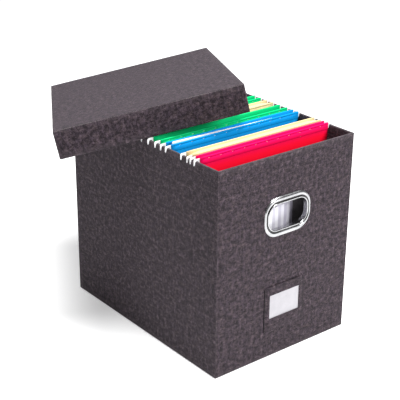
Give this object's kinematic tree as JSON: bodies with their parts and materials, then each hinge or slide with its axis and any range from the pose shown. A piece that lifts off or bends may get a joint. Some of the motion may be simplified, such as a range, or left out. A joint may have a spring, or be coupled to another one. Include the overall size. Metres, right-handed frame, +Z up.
{
  "type": "hanging file box",
  "caption": "Linen-covered file box with a lift-off lid, metal grommet handles, a label pocket and coloured hanging folders hooked over its side walls.",
  "frame": {"origin": "middle of the flat underside of the box", "axes": "+Z up out of the open box, -Y out of the front wall with the label pocket, +X along the hanger bars"},
  "size_m": [0.5169, 0.6532, 0.4779],
  "materials": {
    "linen_charcoal": "melange linen weave glued over board, matte",
    "lining_charcoal": "plain woven lining, matte",
    "greyboard": "raw greyboard",
    "chrome": "polished",
    "card_white": "smooth card, blank",
    "paper_white": "office paper",
    "bar_white": "white plastic-coated steel",
    "folder_red": "coloured card, satin",
    "folder_manila": "cream card, satin",
    "folder_blue": "coloured card, satin",
    "folder_green": "coloured card, satin"
  },
  "bodies": {
    "box": {"base_sheet": "linen_charcoal", "bottom_board": "greyboard", "front_board": "greyboard", "back_board": "greyboard", "left_board": "greyboard", "right_board": "greyboard", "outer_cover": "linen_charcoal", "wall_lining": "lining_charcoal", "bottom_lining": "lining_charcoal", "front_handle": "chrome", "front_handle_backing": "chrome", "back_handle": "chrome", "back_handle_backing": "chrome", "label_pocket": "linen_charcoal", "loose_papers": "paper_white", "divider": "lining_charcoal"},
    "label_card": {"label_card": "card_white"},
    "lid": {"lid_top_board": "greyboard", "lid_front_board": "greyboard", "lid_back_board": "greyboard", "lid_left_board": "greyboard", "lid_right_board": "greyboard", "lid_cover": "linen_charcoal", "lid_wall_lining": "lining_charcoal", "lid_top_lining": "lining_charcoal"},
    "folder_1": {"folder_1_front_leaf": "folder_red", "folder_1_rear_leaf": "folder_red", "folder_1_bars": "bar_white"},
    "folder_2": {"folder_2_front_leaf": "folder_manila", "folder_2_rear_leaf": "folder_manila", "folder_2_bars": "bar_white", "folder_2_file": "folder_manila", "folder_2_papers": "paper_white"},
    "folder_3": {"folder_3_front_leaf": "folder_blue", "folder_3_rear_leaf": "folder_blue", "folder_3_bars": "bar_white", "folder_3_papers": "paper_white"},
    "folder_4": {"folder_4_front_leaf": "folder_green", "folder_4_rear_leaf": "folder_green", "folder_4_bars": "bar_white"},
    "folder_5": {"folder_5_front_leaf": "folder_manila", "folder_5_rear_leaf": "folder_manila", "folder_5_bars": "bar_white", "folder_5_file": "folder_manila", "folder_5_papers": "paper_white"},
    "folder_6": {"folder_6_front_leaf": "folder_green", "folder_6_rear_leaf": "folder_green", "folder_6_bars": "bar_white"},
    "folder_7": {"folder_7_front_leaf": "folder_blue", "folder_7_rear_leaf": "folder_blue", "folder_7_bars": "bar_white"},
    "folder_8": {"folder_8_front_leaf": "folder_red", "folder_8_rear_leaf": "folder_red", "folder_8_bars": "bar_white"}
  },
  "joints": [
    {"name": "lid_lift", "type": "slide", "parent": "box", "child": "lid", "axis": [0, 0, 1], "range_m": [0, 0.25]},
    {"name": "label_card_slide", "type": "slide", "parent": "box", "child": "label_card", "axis": [0, 0, 1], "range_m": [0, 0.08]},
    {"name": "folder_1_slide", "type": "slide", "parent": "box", "child": "folder_1", "axis": [0, 1, 0], "range_m": [-0.0241, 0.0027]},
    {"name": "folder_2_slide", "type": "slide", "parent": "box", "child": "folder_2", "axis": [0, 1, 0], "range_m": [-0.0027, 0.0195]},
    {"name": "folder_3_slide", "type": "slide", "parent": "box", "child": "folder_3", "axis": [0, 1, 0], "range_m": [-0.0195, 0.0065]},
    {"name": "folder_4_slide", "type": "slide", "parent": "box", "child": "folder_4", "axis": [0, 1, 0], "range_m": [-0.0065, 0.008]},
    {"name": "folder_5_slide", "type": "slide", "parent": "box", "child": "folder_5", "axis": [0, 1, 0], "range_m": [-0.008, 0.0075]},
    {"name": "folder_6_slide", "type": "slide", "parent": "box", "child": "folder_6", "axis": [0, 1, 0], "range_m": [-0.0075, 0.015]},
    {"name": "folder_7_slide", "type": "slide", "parent": "box", "child": "folder_7", "axis": [0, 1, 0], "range_m": [-0.015, 0.0145]},
    {"name": "folder_8_slide", "type": "slide", "parent": "box", "child": "folder_8", "axis": [0, 1, 0], "range_m": [-0.0145, 0.002]}
  ]
}
